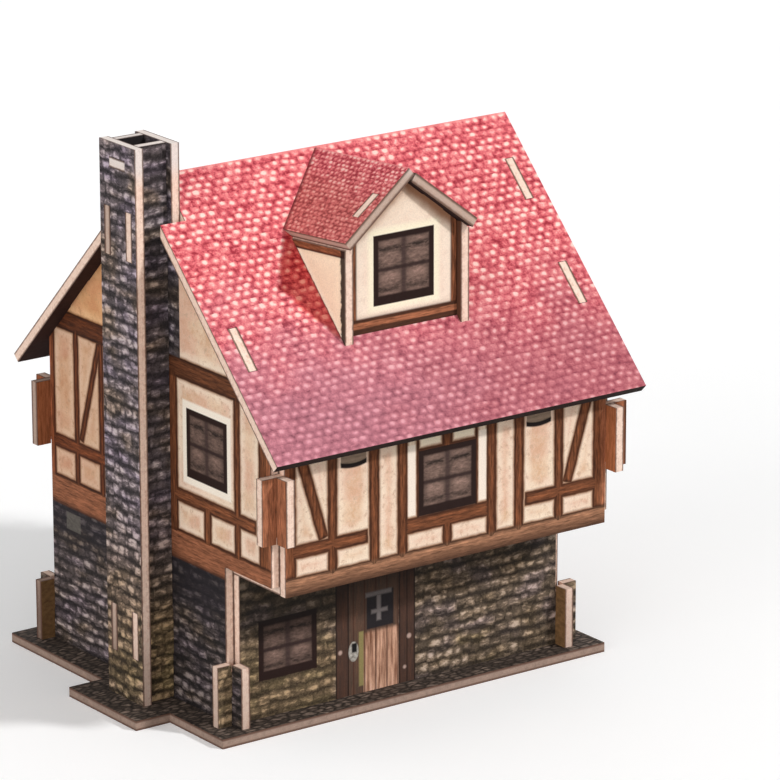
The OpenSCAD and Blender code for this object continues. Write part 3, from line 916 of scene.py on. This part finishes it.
class CARDHOUSE_OT_dormer(bpy.types.Operator):
    """Print the dormer's front, cheeks and roof"""

    bl_idname = "card_house.dormer"
    bl_label = "Print dormer"

    def execute(self, context):
        def front(p):
            return dormer_front_print(p), ink(92, 70, 56)

        print_panel("dormer_front", (0, -1, 0), "timber_card", front)
        cheeks = (("dormer_cheek_left", (-1, 0, 0)), ("dormer_cheek_right", (1, 0, 0)))
        for cheek, roof, mate in zip(cheeks, DORMER_ROOFS, DORMER_ROOFS[::-1]):

            def plastered(p):
                return cheek_print(p, cheek[0], roof), ink(92, 60, 44)

            print_panel(*cheek, "timber_card", plastered)
            ridge, down, start = roof_slope(*roof, *mate)

            def tiled(p):
                small, length = 0.66, 90
                along, fall = p.along(ridge), p.along(down) - start
                tiles = tile_print(p, along / small, fall / small, length, dull=1.0)
                # Dark red painted shade where the dormer's roof meets the main roof; the dark brown
                # underside is partly painted shade
                foot_shade = p.rise(outside(p, *ROOF_FRONT), 1.0, 0.2)
                return p.mix(tiles, ink(104, 36, 40), foot_shade * 0.8), ink(40, 24, 22)

            print_panel(*roof, "tile_card", tiled, aged=0.6)
        return {"FINISHED"}


class CARDHOUSE_OT_chimney(bpy.types.Operator):
    """Print the chimney with rubble stone"""

    bl_idname = "card_house.chimney"
    bl_label = "Print chimney"

    def execute(self, context):
        # Near-black inner faces of the chimney
        dark_inner = ink(34, 29, 30)

        def outer(p):
            return stone_print(p, -p.y, p.z, p.inks.stone, 0.25, light=1.18, damp=0.8, moss=0.5), dark_inner

        def side(p):
            slide_u, slide_v = 3, 1
            light = p.rise(p.z, 60, 25) * 0.22 + p.rise(p.z, 22, 8) * 0.16 + 0.9
            looks = {"soft": 0.45, "light": light, "damp": 1.0, "moss": 0.7}
            return stone_print(p, p.x + slide_u, p.z + slide_v, p.inks.stone, **looks), dark_inner

        def flue(p):
            return p.mix(ink(20, 16, 16), ink(58, 50, 48), p.noise(p.x / 2, p.y / 2)), dark_inner

        print_panel("chimney_outer", (-1, 0, 0), "stone_card", outer)
        print_panel("chimney_side_front", (0, -1, 0), "stone_card", side)
        print_panel("chimney_side_back", (0, 1, 0), "stone_card", side, aged=0.55)
        print_panel("chimney_flue_plate", (0, 0, 1), "stone_card", flue)
        return {"FINISHED"}


class CARDHOUSE_OT_base(bpy.types.Operator):
    """Print the base with paving and board the floor plate"""

    bl_idname = "card_house.base"
    bl_label = "Print base"

    def execute(self, context):
        def paved(p):
            return paving_print(p), p.inks.edge_dark[:]

        def boarded(p):
            board_w = 5
            off_middle = abs(p.y % board_w - board_w / 2)
            boards = timber_print(p, p.x, p.y, warm=0.0)
            return p.mix(boards, ink(30, 18, 14), p.rise(off_middle, 2.25, 2.45)), p.inks.edge[:]

        print_panel("base_plate", (0, 0, 1), "paving_card", paved, aged=0.45)
        print_panel("first_floor", (0, 0, -1), "plain_card", boarded)
        return {"FINISHED"}


class CARDHOUSE_OT_stage(bpy.types.Operator):
    """Set up the pale floor, the soft lights and the camera"""

    bl_idname = "card_house.stage"
    bl_label = "Set stage"

    def execute(self, context):
        scene = context.scene
        scene.view_settings.view_transform = "Standard"
        self.add_camera(scene)
        self.add_floor(scene)
        self.add_world(scene)
        for lamp in LAMPS:
            self.add_lamp(scene, *lamp)
        return {"FINISHED"}

    @staticmethod
    def add_camera(scene):
        """The photo's camera, which turns by yaw, pitch and roll."""
        camera = bpy.data.objects.new("camera", bpy.data.cameras.new("camera"))
        scene.collection.objects.link(camera)
        yaw, pitch, roll = (math.radians(a) for a in CAMERA_TURN)
        camera.location = CAMERA_PLACE
        turn = Matrix.Rotation(-yaw, 4, "Z") @ Matrix.Rotation(math.pi / 2 + pitch, 4, "X")
        turn = turn @ Matrix.Rotation(roll, 4, "Z")
        camera.rotation_euler = turn.to_euler()
        camera.data.lens = CAMERA_LENS
        camera.data.clip_start, camera.data.clip_end = 0.01, 50
        scene.camera = camera

    @staticmethod
    def seen(tree):
        """A share that is 1 for what is seen, mirrored or seen through glass, and 0 where light
        only bounces."""
        path = add_node(tree, "LightPath")
        seen = 0.0
        for ray in ("Is Camera Ray", "Is Glossy Ray", "Is Transmission Ray"):
            sockets = {0: path.outputs[ray], 1: seen}
            seen = add_node(tree, "Math", {"operation": "MAXIMUM"}, sockets).outputs[0]
        return seen

    def add_floor(self, scene):
        """A wide pale sheet under the model."""
        mesh = bpy.data.meshes.new("floor")
        reach = 4.0
        corners = [(-reach, -reach, 0), (reach, -reach, 0), (reach, reach, 0), (-reach, reach, 0)]
        mesh.from_pydata(corners, [], [(0, 1, 2, 3)])
        floor = bpy.data.objects.new("floor", mesh)
        scene.collection.objects.link(floor)
        p = Paint("floor_paper")
        pale = p.mix(ink(248, 248, 248), ink(252, 252, 252), p.noise(p.x / 60, p.y / 60))
        seen = self.seen(p.tree)
        pale = p.mix(ink(188, 184, 180), pale, seen)
        glow = p.mix((0, 0, 0), FLOOR_GLOW, seen)
        floor.data.materials.append(p.finish(pale, 0.9, 0.0, 0.0, glow))

    def add_world(self, scene):
        """White where it is seen, and a weaker white fill for the model."""
        world = bpy.data.worlds.new("studio")
        world.use_nodes = True
        tree = world.node_tree
        tree.nodes.clear()
        sockets = {0: self.seen(tree)}
        for place, strength in enumerate((WORLD_FILL, 1.0), 1):
            sockets[place] = add_node(tree, "Background", {}, {0: (1, 1, 1), 1: strength}).outputs[0]
        chosen = add_node(tree, "MixShader", {}, sockets)
        add_node(tree, "OutputWorld", {}, {0: chosen.outputs[0]})
        scene.world = world

    @staticmethod
    def add_lamp(scene, name, azimuth, height, power, spread):
        """A soft sun that shines from an azimuth and a height, in degrees."""
        lamp = bpy.data.lights.new(name, "SUN")
        lamp.energy = power
        lamp.angle = math.radians(spread)
        shining = bpy.data.objects.new(name, lamp)
        a, e = math.radians(azimuth), math.radians(height)
        back = Vector((math.sin(a) * math.cos(e), -math.cos(a) * math.cos(e), math.sin(e)))
        shining.rotation_euler = (-back).to_track_quat("-Z", "Y").to_euler()
        scene.collection.objects.link(shining)


class CARDHOUSE_PT_panel(bpy.types.Panel):
    """Lists the steps that dress the card house"""

    bl_label = "Card House"
    bl_idname = "CARDHOUSE_PT_panel"
    bl_space_type = "VIEW_3D"
    bl_region_type = "UI"
    bl_category = "Card House"

    def draw(self, context):
        for step in STEPS:
            self.layout.operator(step.bl_idname)


STEPS = (
    CARDHOUSE_OT_stage,
    CARDHOUSE_OT_walls,
    CARDHOUSE_OT_roof,
    CARDHOUSE_OT_dormer,
    CARDHOUSE_OT_chimney,
    CARDHOUSE_OT_base,
)
GROUPS = (CARDHOUSE_PG_inks, CARDHOUSE_PG_sizes)


def register():
    """Registers the groups, the steps and the panel."""
    for part in (*GROUPS, *STEPS, CARDHOUSE_PT_panel):
        bpy.utils.register_class(part)
    bpy.types.Scene.card_house_inks = PointerProperty(type=CARDHOUSE_PG_inks)
    bpy.types.Scene.card_house_sizes = PointerProperty(type=CARDHOUSE_PG_sizes)


def unregister():
    """Takes everything that register added away again."""
    del bpy.types.Scene.card_house_inks
    del bpy.types.Scene.card_house_sizes
    for part in reversed((*GROUPS, *STEPS, CARDHOUSE_PT_panel)):
        bpy.utils.unregister_class(part)


def main():
    register()
    bpy.ops.card_house.stage()
    bpy.ops.card_house.walls()
    bpy.ops.card_house.roof()
    bpy.ops.card_house.dormer()
    bpy.ops.card_house.chimney()
    bpy.ops.card_house.base()


if __name__ == "__main__":
    main()
